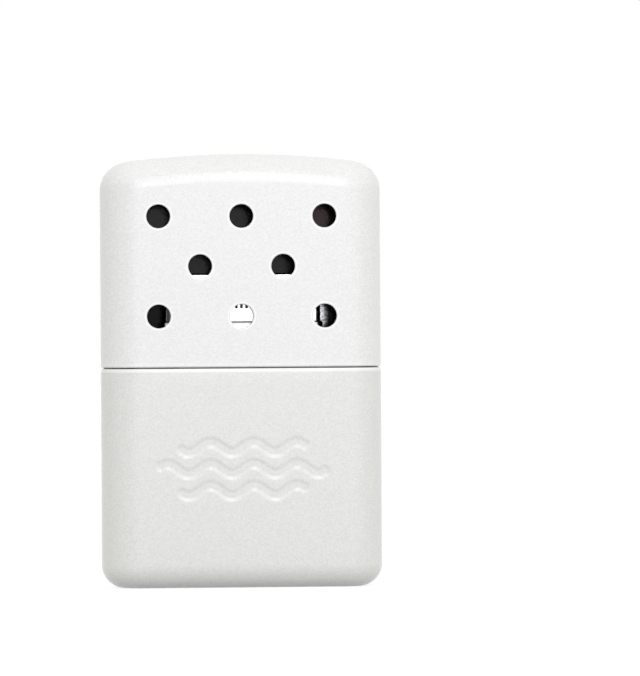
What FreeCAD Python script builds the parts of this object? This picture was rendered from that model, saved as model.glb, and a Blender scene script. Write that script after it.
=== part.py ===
import FreeCAD, Part
import math
import os
import re
import Sketcher

# Pocket hand warmer that burns fuel without a flame on a catalyst mat.
# Frame: +Z up, front face towards -Y, origin under the middle of the flat base. Lengths in mm.

SIZES = {
    # deep-drawn case: the tank below and the lid above share one plan outline
    "case_width": 51.0,
    "case_depth": 14.0,
    "case_side_flat": 0.2,
    "case_wall": 0.45,
    "mouth_bevel": 0.2,
    "tank_height": 39.78,
    "tank_bottom_radius": 4.2,
    "seam_gap": 0.16,
    "lid_height": 38.66,
    "lid_top_radius": 5.2,
    "lid_crown_radius": 167.0,
    # air holes through the front of the lid
    "vent_diameter": 4.3,
    "vent_pitch": 15.0,
    "vent_row_pitch": 9.03,
    "vent_first_row": 9.21,
    "vent_rim": 0.15,
    # collar that closes the tank and guides the lid
    "collar_wall": 0.5,
    "collar_fit": 0.06,
    "collar_stand": 5.7,
    "collar_seat": 6.0,
    "collar_lead_in": 0.3,
    "deck_fit": 0.02,
    "deck_rise": 2.3,
    "deck_thickness": 0.5,
    "deck_flange": 3.0,
    "deck_bevel": 0.5,
    # filler neck with its felt and screen
    "neck_fit": 0.08,
    "neck_wall": 0.5,
    "neck_stand": 4.0,
    "neck_drop": 4.0,
    "neck_flange_reach": 1.5,
    "neck_flange_room": 0.3,
    "neck_flange_thickness": 0.5,
    "screen_inset": 0.4,
    "screen_thickness": 0.3,
    "screen_opening": 1.3,
    "screen_pitch": 2.0,
    "felt_clearance": 0.1,
    # cotton that holds the fuel
    "wadding_clearance": 0.35,
    "wadding_gap": 0.2,
    "wadding_bevel": 3.0,
    # burner that pulls off the neck
    "burner_width": 28.7,
    "burner_air_gap": 2.05,
    "burner_side_flat": 6.0,
    "burner_wall": 0.4,
    "burner_fit": 0.04,
    "burner_height": 10.45,
    "burner_top_radius": 0.6,
    "slot_width": 0.5,
    "slot_pitch": 0.92,
    "slot_sill": 4.05,
    "slot_rim": 1.4,
    "chimney_slot_width": 1.1,
    "chimney_slot_pitch": 2.3,
    "chimney_slot_length": 5.4,
    "skirt_clearance": 0.3,
    "skirt_lap": 1.75,
    "skirt_bevel": 0.25,
    "tongue_slit": 0.4,
    "tongue_height": 3.2,
    "tongue_pitch": 5.5,
    "floor_gap": 0.1,
    "floor_thickness": 0.3,
    "floor_slot_width": 1.2,
    "floor_slot_pitch": 2.4,
    "floor_slot_length": 5.4,
    "gauze_thickness": 0.25,
    "gauze_play": 0.03,
    "gauze_opening": 1.5,
    "gauze_pitch": 2.3,
    "mat_clearance": 0.1,
}
WADDING_NAMES = ("wadding_bottom", "wadding_lower", "wadding_upper", "wadding_top")

doc = FreeCAD.newDocument("hand_warmer")
sheet = doc.addObject("Spreadsheet::Sheet", "Sizes")
for row, (alias, size) in enumerate(SIZES.items(), start=1):
    sheet.set(f"A{row}", alias)
    sheet.set(f"B{row}", str(size))
    sheet.setAlias(f"B{row}", alias)
doc.recompute()


def sized(text):
    """Put the sheet's name before each size that an expression names."""
    return re.sub(r"[a-z_]+", lambda word: f"Sizes.{word[0]}" if word[0] in SIZES else word[0], text)


def amount(text):
    """The number that an expression of sizes comes to."""
    return float(sheet.evalExpression(sized(text)))


def bind(thing, place, text):
    """Tie one property, or one named constraint of a sketch, to an expression of sizes."""
    thing.setExpression(place, sized(text))


# ---------------------------------------------------------------- sizes that follow from others
CASE_RADIUS = "( case_depth - case_side_flat ) / 2"
LID_MOUTH = "( tank_height + seam_gap )"
LID_TOP = "( tank_height + seam_gap + lid_height )"
COLLAR_INSET = "( case_wall + collar_fit )"
COLLAR_BOTTOM = "( tank_height - collar_seat )"
COLLAR_TOP = "( tank_height + seam_gap + collar_stand )"
DECK_INSET = "( case_wall + collar_fit + collar_wall + deck_fit )"
DECK_TOP = "( tank_height + deck_rise )"
NECK_TOP = "( tank_height + deck_rise + neck_stand )"
NECK_FLANGE_TOP = "( tank_height + deck_rise - deck_thickness )"
NECK_BOTTOM = f"( {NECK_FLANGE_TOP} - neck_drop )"
NECK_INSET = "( neck_fit - burner_fit )"
SCREEN_TOP = f"( {NECK_TOP} - screen_inset )"
BURNER_DEPTH = "( case_depth - 2 * case_wall - 2 * burner_air_gap )"
BURNER_RADIUS = f"( {BURNER_DEPTH} - burner_side_flat ) / 2"
SKIRT_BOTTOM = f"( {DECK_TOP} + skirt_clearance )"
FLOOR_BOTTOM = f"( {NECK_TOP} + floor_gap )"
BURNER_BOTTOM = f"( {FLOOR_BOTTOM} + floor_thickness )"
BURNER_TOP = f"( {BURNER_BOTTOM} + burner_height )"
BURNER_FLAT = f"( burner_width - {BURNER_DEPTH} + burner_side_flat )"

CASE_PLAN = ("case_width", "case_depth", CASE_RADIUS)
BURNER_PLAN = ("burner_width", BURNER_DEPTH, BURNER_RADIUS)


# ---------------------------------------------------------------- sketches
def new_body(name):
    body = doc.addObject("PartDesign::Body", name)
    body.Label = name
    return body


def new_sketch(body, name, plane, height="0"):
    """A sketch on one of the body's own origin planes, moved along that plane's normal."""
    sketch = body.newObject("Sketcher::SketchObject", name)
    base = next(part for part in body.Origin.OriginFeatures if part.Role == plane)
    sketch.AttachmentSupport = [(base, "")]
    sketch.MapMode = "FlatFace"
    bind(sketch, "AttachmentOffset.Base.z", height)
    return sketch


def constrain(sketch, kind, places, name, text):
    """Add one dimension to a sketch and tie it to an expression of sizes."""
    index = sketch.addConstraint(Sketcher.Constraint(kind, *places, amount(text)))
    sketch.renameConstraint(index, name)
    bind(sketch, f"Constraints.{name}", text)


def draw_rounded(sketch, width, depth, radius, tag):
    """A rectangle with four round corners, centred on the sketch's origin."""
    round_off = amount(radius)
    across = amount(width) / 2 - round_off
    along = amount(depth) / 2 - round_off
    centres = [(across, -along), (across, along), (-across, along), (-across, -along)]
    first = sketch.GeometryCount
    up = FreeCAD.Vector(0, 0, 1)
    for corner, (x, y) in enumerate(centres):
        circle = Part.Circle(FreeCAD.Vector(x, y, 0), up, round_off)
        start = (corner - 1) * math.pi / 2
        sketch.addGeometry(Part.ArcOfCircle(circle, start, start + math.pi / 2))
    arcs = range(first, first + 4)
    for corner in range(4):
        here = sketch.Geometry[arcs[corner]].EndPoint
        there = sketch.Geometry[arcs[(corner + 1) % 4]].StartPoint
        line = sketch.addGeometry(Part.LineSegment(here, there))
        sketch.addConstraint(Sketcher.Constraint("Tangent", arcs[corner], 2, line, 1))
        sketch.addConstraint(Sketcher.Constraint("Tangent", line, 2, arcs[(corner + 1) % 4], 1))
        level = "Horizontal" if corner % 2 else "Vertical"
        sketch.addConstraint(Sketcher.Constraint(level, line))
        if corner:
            sketch.addConstraint(Sketcher.Constraint("Equal", arcs[0], arcs[corner]))
    sketch.addConstraint(Sketcher.Constraint("Symmetric", arcs[0], 3, arcs[2], 3, -1, 1))
    constrain(sketch, "Radius", (arcs[0],), f"{tag}_radius", radius)
    constrain(sketch, "DistanceX", (arcs[2], 3, arcs[1], 3), f"{tag}_width", f"{width} - 2 * ( {radius} )")
    constrain(sketch, "DistanceY", (arcs[0], 3, arcs[1], 3), f"{tag}_depth", f"{depth} - 2 * ( {radius} )")


def draw_plan(sketch, outline, inset, tag="plan"):
    """One of the two plan outlines, drawn smaller all round by an inset."""
    width, depth, radius = outline
    draw_rounded(
        sketch,
        f"{width} - 2 * ( {inset} )",
        f"{depth} - 2 * ( {inset} )",
        f"{radius} - ( {inset} )",
        tag,
    )


def draw_hole(sketch, across, height, diameter):
    """A circle placed from the sketch's origin."""
    centre = FreeCAD.Vector(amount(across), amount(height), 0)
    circle = Part.Circle(centre, FreeCAD.Vector(0, 0, 1), amount(diameter) / 2)
    index = sketch.addGeometry(circle)
    constrain(sketch, "Diameter", (index,), "diameter", diameter)
    constrain(sketch, "DistanceX", (-1, 1, index, 3), "across", across)
    constrain(sketch, "DistanceY", (-1, 1, index, 3), "height", height)


def draw_box(sketch, left, low, width, height):
    """An upright rectangle placed by its lower left corner."""
    x, y = amount(left), amount(low)
    wide, tall = amount(width), amount(height)
    corners = [(x, y), (x + wide, y), (x + wide, y + tall), (x, y + tall)]
    points = [FreeCAD.Vector(a, b, 0) for a, b in corners]
    lines = [
        sketch.addGeometry(Part.LineSegment(points[side], points[(side + 1) % 4])) for side in range(4)
    ]
    for side in range(4):
        following = lines[(side + 1) % 4]
        sketch.addConstraint(Sketcher.Constraint("Coincident", lines[side], 2, following, 1))
        level = "Vertical" if side % 2 else "Horizontal"
        sketch.addConstraint(Sketcher.Constraint(level, lines[side]))
    constrain(sketch, "DistanceX", (lines[0], 1, lines[0], 2), "width", width)
    constrain(sketch, "DistanceY", (lines[1], 1, lines[1], 2), "height", height)
    constrain(sketch, "DistanceX", (-1, 1, lines[0], 1), "left", left)
    constrain(sketch, "DistanceY", (-1, 1, lines[0], 1), "low", low)


# ---------------------------------------------------------------- features
def pad(body, name, sketch, height):
    feature = body.newObject("PartDesign::Pad", name)
    feature.Profile = sketch
    bind(feature, "Length", height)
    doc.recompute()
    return feature


def pad_both_ways(body, name, sketch, length):
    feature = pad(body, name, sketch, length)
    feature.SideType = "Symmetric"
    doc.recompute()
    return feature


def cut_through(body, name, sketch):
    """Cut a sketch through everything, both ways from its plane."""
    before = body.Shape.Volume
    feature = body.newObject("PartDesign::Pocket", name)
    feature.Profile = sketch
    feature.SideType = "Symmetric"
    feature.Type = "ThroughAll"
    doc.recompute()
    if feature.Shape.Volume >= before:
        raise RuntimeError(f"{name} removed nothing")
    return feature


def cut_down(body, name, sketch, depth):
    """Cut a sketch to a depth, away from the side that its plane faces."""
    before = body.Shape.Volume
    feature = body.newObject("PartDesign::Pocket", name)
    feature.Profile = sketch
    bind(feature, "Length", depth)
    doc.recompute()
    if feature.Shape.Volume >= before:
        raise RuntimeError(f"{name} removed nothing")
    return feature


def repeat(body, name, features, plane_axis, count, pitch):
    """Copy cuts along the sideways (H_Axis) or upright (V_Axis) direction of their sketch."""
    pattern = body.newObject("PartDesign::LinearPattern", name)
    pattern.Originals = features
    pattern.Direction = (features[0].Profile[0], [plane_axis])
    bind(pattern, "Occurrences", count)
    bind(pattern, "Length", f"( {count} - 1 ) * {pitch}")
    body.Tip = pattern
    doc.recompute()
    return pattern


def work_edges(body, kind, name, wanted, size):
    """Fillet or chamfer the edges of the body's shape so far that a test picks."""
    base = body.Tip
    picked = [f"Edge{i}" for i, edge in enumerate(base.Shape.Edges, start=1) if wanted(edge)]
    if not picked:
        raise RuntimeError(f"{name} found no edge")
    feature = body.newObject(f"PartDesign::{kind}", name)
    feature.Base = (base, picked)
    bind(feature, "Radius" if kind == "Fillet" else "Size", size)
    doc.recompute()
    return feature


def round_edges(body, name, wanted, radius):
    return work_edges(body, "Fillet", name, wanted, radius)


def bevel_edges(body, name, wanted, size):
    return work_edges(body, "Chamfer", name, wanted, size)


def hollow(body, name, wanted, wall):
    """Shell the body inwards, open at the one face that a test picks."""
    base = body.Tip
    before = base.Shape.Volume
    open_faces = [f"Face{i}" for i, face in enumerate(base.Shape.Faces, start=1) if wanted(face)]
    feature = body.newObject("PartDesign::Thickness", name)
    feature.Base = (base, open_faces)
    feature.Reversed = True
    bind(feature, "Value", wall)
    doc.recompute()
    if feature.Shape.Volume >= before:
        raise RuntimeError(f"{name} thickened outwards")
    return feature


def close(first, second):
    return abs(first - second) < 1e-4


def at_level(height):
    """Test for the edges and faces that lie flat at one height."""
    level = amount(height)
    return lambda item: close(item.BoundBox.ZMin, level) and close(item.BoundBox.ZMax, level)


def on_plan(height, outline, inset="0"):
    """Test for the edges of one plan outline at one height."""
    level = amount(height)
    half_width = amount(f"{outline[0]} / 2 - ( {inset} )")
    half_depth = amount(f"{outline[1]} / 2 - ( {inset} )")
    radius = amount(f"{outline[2]} - ( {inset} )")

    def test(edge):
        if not (close(edge.BoundBox.ZMin, level) and close(edge.BoundBox.ZMax, level)):
            return False
        middle = edge.valueAt((edge.FirstParameter + edge.LastParameter) / 2)
        x = max(abs(middle.x) - half_width + radius, 0)
        y = max(abs(middle.y) - half_depth + radius, 0)
        return abs(math.hypot(x, y) - radius) < 1e-3

    return test


# ---------------------------------------------------------------- tank
def make_tank_shell():
    body = new_body("tank_shell")
    sketch = new_sketch(body, "tank_plan", "XY_Plane")
    draw_plan(sketch, CASE_PLAN, "0")
    pad(body, "tank_block", sketch, "tank_height")
    round_edges(body, "tank_bottom_round", at_level("0"), "tank_bottom_radius")
    hollow(body, "tank_hollow", at_level("tank_height"), "case_wall")
    bevel_edges(body, "tank_mouth_bevel", on_plan("tank_height", CASE_PLAN), "mouth_bevel")


def tube(name, outline, inset, wall, bottom, height):
    """An upright tube with one of the two plan outlines."""
    body = new_body(name)
    sketch = new_sketch(body, f"{name}_plan", "XY_Plane", bottom)
    draw_plan(sketch, outline, inset, "outer")
    draw_plan(sketch, outline, f"{inset} + {wall}", "inner")
    pad(body, f"{name}_wall", sketch, height)
    return body


def block(name, outline, inset, bottom, height):
    """An upright solid with one of the two plan outlines."""
    body = new_body(name)
    sketch = new_sketch(body, f"{name}_plan", "XY_Plane", bottom)
    draw_plan(sketch, outline, inset)
    pad(body, f"{name}_block", sketch, height)
    return body


def make_tank_collar():
    height = f"{COLLAR_TOP} - {COLLAR_BOTTOM}"
    body = tube("tank_collar", CASE_PLAN, COLLAR_INSET, "collar_wall", COLLAR_BOTTOM, height)
    bevel_edges(body, "collar_lead_in_bevel", on_plan(COLLAR_TOP, CASE_PLAN, COLLAR_INSET), "collar_lead_in")


def make_tank_deck():
    body = block("tank_deck", CASE_PLAN, DECK_INSET, f"{DECK_TOP} - deck_flange", "deck_flange")
    rim = on_plan(DECK_TOP, CASE_PLAN, DECK_INSET)
    bevel_edges(body, "deck_rim_bevel", rim, "deck_bevel")
    hollow(body, "deck_hollow", at_level(f"{DECK_TOP} - deck_flange"), "deck_thickness")
    sketch = new_sketch(body, "deck_opening_plan", "XY_Plane", DECK_TOP)
    draw_plan(sketch, BURNER_PLAN, f"{NECK_INSET} - deck_fit")
    cut_down(body, "deck_opening", sketch, "deck_flange")


def make_filler_neck():
    height = f"{NECK_TOP} - {NECK_BOTTOM}"
    body = tube("filler_neck", BURNER_PLAN, NECK_INSET, "neck_wall", NECK_BOTTOM, height)
    flange_bottom = f"{NECK_FLANGE_TOP} - neck_flange_thickness"
    flange_depth = f"( case_depth - 2 * ( {DECK_INSET} + deck_thickness + neck_flange_room ) )"
    flange_width = f"burner_width - 2 * {NECK_INSET} + 2 * neck_flange_reach"
    sketch = new_sketch(body, "neck_flange_plan", "XY_Plane", flange_bottom)
    draw_rounded(sketch, flange_width, flange_depth, f"( {flange_depth} - burner_side_flat ) / 2", "outer")
    draw_plan(sketch, BURNER_PLAN, f"{NECK_INSET} + neck_wall / 2", "inner")
    pad(body, "neck_flange_ring", sketch, "neck_flange_thickness")


def repeat_both_ways(body, name, cut, across, upright, pitch):
    """Copy a cut over a grid, along both directions of its sketch."""
    grid = body.newObject("PartDesign::MultiTransform", f"{name}_grid")
    grid.Originals = [cut]
    steps = []
    for axis, count in (("H_Axis", across), ("V_Axis", upright)):
        step = doc.addObject("PartDesign::LinearPattern", f"{name}_{axis[0].lower()}_step")
        step.Direction = (cut.Profile[0], [axis])
        bind(step, "Occurrences", count)
        bind(step, "Length", f"( {count} - 1 ) * {pitch}")
        body.addObject(step)
        steps.append(step)
    grid.Transformations = steps
    body.Tip = grid
    doc.recompute()


def perforate(body, name, plane, plane_height, middle, upright, opening, pitch):
    """Fill a sheet of the burner's flat width with a grid of square openings.

    In its sketch plane the sheet is "upright" tall, and its middle lies at the height "middle".
    """
    columns = f"floor( {BURNER_FLAT} / {pitch} - 1 / 2 )"
    rows = f"floor( ( {upright} ) / {pitch} - 1 / 2 )"
    sketch = new_sketch(body, f"{name}_opening_outline", plane, plane_height)
    left = f"- ( {columns} - 1 ) * {pitch} / 2 - {opening} / 2"
    low = f"{middle} - ( {rows} - 1 ) * {pitch} / 2 - {opening} / 2"
    draw_box(sketch, left, low, opening, opening)
    hole = cut_through(body, f"{name}_opening", sketch)
    repeat_both_ways(body, f"{name}_opening", hole, columns, rows, pitch)


def make_neck_screen():
    inset = f"{NECK_INSET} + neck_wall + felt_clearance / 2"
    body = block("neck_screen", BURNER_PLAN, inset, f"{SCREEN_TOP} - screen_thickness", "screen_thickness")
    depth = f"{BURNER_DEPTH} - 2 * ( {inset} )"
    perforate(body, "screen", "XY_Plane", SCREEN_TOP, "0", depth, "screen_opening", "screen_pitch")


def make_wick_felt():
    inset = f"{NECK_INSET} + neck_wall + felt_clearance"
    height = f"{SCREEN_TOP} - screen_thickness - {NECK_BOTTOM}"
    block("wick_felt", BURNER_PLAN, inset, NECK_BOTTOM, height)


def make_wadding():
    """Cotton pads stacked from the tank's floor up to the filler neck."""
    room = "( case_wall + wadding_clearance )"
    pads = len(WADDING_NAMES)
    step = f"( ( {NECK_BOTTOM} - {room} ) / {pads} )"
    for index, name in enumerate(WADDING_NAMES):
        inside_collar = index == pads - 1
        inset = f"( {room} + collar_wall )" if inside_collar else room
        body = block(name, CASE_PLAN, inset, f"{room} + {index} * {step}", f"{step} - wadding_gap")
        if index == 0:
            bevel_edges(body, f"{name}_bevel", at_level(room), "wadding_bevel")


# ---------------------------------------------------------------- burner
def cut_slot_row(body, name, level, thickness):
    """Cut a row of slots, each across the plan, down through a level plate of the burner."""
    width, pitch, length = f"{name}_width", f"{name}_pitch", f"{name}_length"
    count = f"floor( {BURNER_FLAT} / {pitch} )"
    sketch = new_sketch(body, f"{name}_outline", "XY_Plane", level)
    draw_box(sketch, f"- ( {count} - 1 ) * {pitch} / 2 - {width} / 2", f"- {length} / 2", width, length)
    slot = cut_down(body, f"first_{name}", sketch, f"{thickness} * 2")
    repeat(body, f"{name}_row", [slot], "H_Axis", count, pitch)


def make_burner_housing():
    body = block("burner_housing", BURNER_PLAN, "0", BURNER_BOTTOM, "burner_height")
    round_edges(body, "burner_top_round", at_level(BURNER_TOP), "burner_top_radius")
    hollow(body, "burner_hollow", at_level(BURNER_BOTTOM), "burner_wall")
    count = f"floor( {BURNER_FLAT} / slot_pitch )"
    sketch = new_sketch(body, "slot_outline", "XZ_Plane")
    left = f"- ( {count} - 1 ) * slot_pitch / 2 - slot_width / 2"
    slot_height = "burner_height - slot_sill - slot_rim"
    draw_box(sketch, left, f"{BURNER_BOTTOM} + slot_sill", "slot_width", slot_height)
    slot = cut_through(body, "side_slot", sketch)
    repeat(body, "side_slots", [slot], "H_Axis", count, "slot_pitch")
    cut_slot_row(body, "chimney_slot", BURNER_TOP, "burner_wall")


def make_burner_skirt():
    inset = "( 0 - burner_fit - burner_wall )"
    height = f"{BURNER_BOTTOM} + skirt_lap - {SKIRT_BOTTOM}"
    body = tube("burner_skirt", BURNER_PLAN, inset, "burner_wall", SKIRT_BOTTOM, height)
    rim = on_plan(f"{BURNER_BOTTOM} + skirt_lap", BURNER_PLAN, inset)
    bevel_edges(body, "skirt_rim_bevel", rim, "skirt_bevel")
    count = f"floor( {BURNER_FLAT} / tongue_pitch )"
    sketch = new_sketch(body, "tongue_slit_outline", "XZ_Plane")
    left = f"- ( {count} - 1 ) * tongue_pitch / 2 - tongue_slit / 2"
    draw_box(sketch, left, f"{SKIRT_BOTTOM} - tongue_slit", "tongue_slit", "tongue_height + tongue_slit")
    slit = cut_through(body, "tongue_slit", sketch)
    repeat(body, "tongue_slits", [slit], "H_Axis", count, "tongue_pitch")


def make_burner_floor():
    body = block("burner_floor", BURNER_PLAN, "0", FLOOR_BOTTOM, "floor_thickness")
    cut_slot_row(body, "floor_slot", BURNER_BOTTOM, "floor_thickness")


def make_gauze(name, side):
    """A perforated sheet behind the slots, between one wall of the housing and the mat."""
    body = new_body(name)
    outer = f"( {BURNER_DEPTH} / 2 - burner_wall - gauze_play )"
    height = f"( {BURNER_TOP} - burner_wall - burner_top_radius - {BURNER_BOTTOM} )"
    plane_height = outer if side < 0 else f"gauze_thickness - {outer}"
    sketch = new_sketch(body, f"{name}_outline", "XZ_Plane", f"{plane_height} - gauze_thickness")
    draw_box(sketch, f"- {BURNER_FLAT} / 2", BURNER_BOTTOM, BURNER_FLAT, height)
    pad(body, f"{name}_sheet", sketch, "gauze_thickness")
    middle = f"{BURNER_BOTTOM} + {height} / 2"
    perforate(body, name, "XZ_Plane", plane_height, middle, height, "gauze_opening", "gauze_pitch")


def make_catalyst_mat():
    inset = "burner_wall + gauze_play + gauze_thickness + mat_clearance"
    low = f"{BURNER_BOTTOM} + mat_clearance"
    height = "burner_height - burner_wall - burner_top_radius - 2 * mat_clearance"
    block("catalyst_mat", BURNER_PLAN, inset, low, height)


# ---------------------------------------------------------------- lid
def draw_lid_outline(sketch):
    """The lid seen from the front: straight sides under a shallow crown."""
    half = amount("case_width / 2")
    low, top = amount(LID_MOUTH), amount(LID_TOP)
    crown = amount("lid_crown_radius")
    shoulder = top - crown + (crown * crown - half * half) ** 0.5
    mouth = [FreeCAD.Vector(-half, low, 0), FreeCAD.Vector(half, low, 0)]
    corners = [FreeCAD.Vector(half, shoulder, 0), FreeCAD.Vector(-half, shoulder, 0)]
    bottom = sketch.addGeometry(Part.LineSegment(*mouth))
    right = sketch.addGeometry(Part.LineSegment(mouth[1], corners[0]))
    arc = sketch.addGeometry(Part.Arc(corners[0], FreeCAD.Vector(0, top, 0), corners[1]))
    left = sketch.addGeometry(Part.LineSegment(corners[1], mouth[0]))
    sketch.addConstraint(Sketcher.Constraint("Coincident", bottom, 2, right, 1))
    sketch.addConstraint(Sketcher.Constraint("Coincident", right, 2, arc, 1))
    sketch.addConstraint(Sketcher.Constraint("Coincident", arc, 2, left, 1))
    sketch.addConstraint(Sketcher.Constraint("Coincident", left, 2, bottom, 1))
    sketch.addConstraint(Sketcher.Constraint("Vertical", right))
    sketch.addConstraint(Sketcher.Constraint("Vertical", left))
    sketch.addConstraint(Sketcher.Constraint("Symmetric", bottom, 1, bottom, 2, -2))
    sketch.addConstraint(Sketcher.Constraint("PointOnObject", arc, 3, -2))
    constrain(sketch, "DistanceX", (bottom, 1, bottom, 2), "width", "case_width")
    constrain(sketch, "DistanceY", (-1, 1, bottom, 1), "mouth", LID_MOUTH)
    constrain(sketch, "Radius", (arc,), "crown", "lid_crown_radius")
    constrain(sketch, "DistanceY", (arc, 3, -1, 1), "crown_centre", f"lid_crown_radius - {LID_TOP}")


def make_lid_shell():
    body = new_body("lid_shell")
    sketch = new_sketch(body, "lid_outline", "XZ_Plane")
    draw_lid_outline(sketch)
    pad_both_ways(body, "lid_block", sketch, "case_depth")
    tall = amount("lid_height") / 2
    round_edges(body, "lid_side_round", lambda edge: edge.BoundBox.ZLength > tall, CASE_RADIUS)
    crown = max(body.Tip.Shape.Faces, key=lambda face: face.CenterOfMass.z)
    round_edges(
        body, "lid_top_round", lambda edge: any(edge.isSame(other) for other in crown.Edges), "lid_top_radius"
    )
    hollow(body, "lid_hollow", at_level(LID_MOUTH), "case_wall")
    for row, count in enumerate((3, 2, 3)):
        height = f"{LID_MOUTH} + vent_first_row + {row} * vent_row_pitch"
        sketch = new_sketch(body, f"vent_{row}_outline", "XZ_Plane", "case_depth / 2")
        draw_hole(sketch, f"- {count - 1} * vent_pitch / 2", height, "vent_diameter")
        vent = cut_down(body, f"vent_{row}", sketch, "case_wall * 2")
        repeat(body, f"vent_{row}_row", [vent], "H_Axis", str(count), "vent_pitch")
    front = amount("- case_depth / 2")
    on_front = lambda edge: edge.isClosed() and close(edge.BoundBox.YMax, front)
    bevel_edges(body, "vent_rims", on_front, "vent_rim")
    bevel_edges(body, "lid_mouth_bevel", on_plan(LID_MOUTH, CASE_PLAN), "mouth_bevel")


make_tank_shell()
make_tank_collar()
make_tank_deck()
make_filler_neck()
make_neck_screen()
make_wick_felt()
make_wadding()
make_burner_skirt()
make_burner_floor()
make_burner_housing()
make_gauze("gauze_front", -1)
make_gauze("gauze_back", 1)
make_catalyst_mat()
make_lid_shell()
doc.recompute()

# ---------------------------------------------------------------- check and write
for thing in doc.Objects:
    if "Invalid" in thing.State or "Error" in thing.State:
        raise RuntimeError(f"{thing.Name} did not build: {thing.State}")

bodies = [thing for thing in doc.Objects if thing.TypeId == "PartDesign::Body"]
for body in bodies:
    if body.Shape.isNull() or not body.Shape.isValid():
        raise RuntimeError(f"{body.Label} has no valid shape")

os.makedirs("parts", exist_ok=True)
for body in bodies:
    body.Shape.exportStep(f"parts/{body.Label}.step")
    box = body.Shape.BoundBox
    print(f"{body.Label}: {body.Shape.Volume:.2f} mm3, z {box.ZMin:.2f} to {box.ZMax:.2f}")
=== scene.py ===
"""Dresses the pocket hand warmer: pearl-white case, plated burner, wire gauze, glass fibre, felt and cotton.

Lengths are metres, except where a class says millimetres. +Z is up, the front face looks towards -Y, and the
origin is under the middle of the base.
"""

import logging
import math
from dataclasses import dataclass
from enum import Enum
from typing import Any

import bmesh
import bpy
import numpy as np
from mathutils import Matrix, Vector


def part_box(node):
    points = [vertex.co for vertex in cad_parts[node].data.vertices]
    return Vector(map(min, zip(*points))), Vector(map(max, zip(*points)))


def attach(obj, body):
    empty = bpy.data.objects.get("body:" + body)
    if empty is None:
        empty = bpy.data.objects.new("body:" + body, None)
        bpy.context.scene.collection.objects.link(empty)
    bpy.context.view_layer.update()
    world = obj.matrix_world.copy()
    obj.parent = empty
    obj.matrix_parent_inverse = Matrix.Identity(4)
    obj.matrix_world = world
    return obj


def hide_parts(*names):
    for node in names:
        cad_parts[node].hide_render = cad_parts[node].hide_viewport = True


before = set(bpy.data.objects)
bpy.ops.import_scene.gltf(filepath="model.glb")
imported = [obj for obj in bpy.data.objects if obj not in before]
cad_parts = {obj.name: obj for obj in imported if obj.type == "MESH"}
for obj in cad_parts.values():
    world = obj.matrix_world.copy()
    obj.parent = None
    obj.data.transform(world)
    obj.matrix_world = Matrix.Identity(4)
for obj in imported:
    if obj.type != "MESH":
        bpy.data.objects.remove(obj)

MM = 0.001
LOG = logging.getLogger("hand_warmer")
MERGE = 1e-7

Piece = bpy.types.Object
Socket = bpy.types.NodeSocket
Colour = tuple[float, float, float, float]
Pair = tuple[float, float]
Triple = tuple[float, float, float]
Arrays = tuple[np.ndarray, np.ndarray, np.ndarray]
MeshData = tuple[np.ndarray, list[np.ndarray]]


class Body(Enum):
    """The three bodies that pieces ride on."""

    TANK = "tank"
    BURNER = "burner"
    LID = "lid"


class Slot(Enum):
    """The record's material slots."""

    PAINT = "case_paint"
    STEEL = "plain_steel"
    FELT = "felt"
    COTTON = "cotton"
    FIBRE = "catalyst_fibre"


# ---- shader maths
class Value:
    """A node socket that adds a Math node for each operation done on it."""

    def __init__(self, board: "Board", socket: Socket) -> None:
        """Keep the board that new nodes go into and the output that this value stands for."""
        self.board = board
        self.socket = socket

    def _math(self, operation: str, first: Any, second: Any = 0.0) -> "Value":
        """Add one Math node on two values or numbers and return its result."""
        made = self.board.node("Math", {0: first, 1: second}, operation=operation)
        return Value(self.board, made.outputs[0])

    def __add__(self, other: Any) -> "Value":
        """Return self + other."""
        return self._math("ADD", self, other)

    __radd__ = __add__

    def __sub__(self, other: Any) -> "Value":
        """Return self - other."""
        return self._math("SUBTRACT", self, other)

    def __rsub__(self, other: Any) -> "Value":
        """Return other - self."""
        return self._math("SUBTRACT", other, self)

    def __mul__(self, other: Any) -> "Value":
        """Return self * other."""
        return self._math("MULTIPLY", self, other)

    __rmul__ = __mul__

    def __abs__(self) -> "Value":
        """Return the size of self without its sign."""
        return self._math("ABSOLUTE", self)

    def at_least(self, other: Any) -> "Value":
        """Return the larger of self and other."""
        return self._math("MAXIMUM", self, other)

    def at_most(self, other: Any) -> "Value":
        """Return the smaller of self and other."""
        return self._math("MINIMUM", self, other)

    def hypot(self, other: "Value") -> "Value":
        """Return the long side of a right triangle whose legs are self and other."""
        return self._math("SQRT", self * self + other * other)

    def step(self, low: float, high: float) -> "Value":
        """Return a smooth step from 0 at low to 1 at high."""
        bounds = {"Value": self, "From Min": low, "From Max": high}
        made = self.board.node("MapRange", bounds, interpolation_type="SMOOTHSTEP")
        return Value(self.board, made.outputs["Result"])


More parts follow.
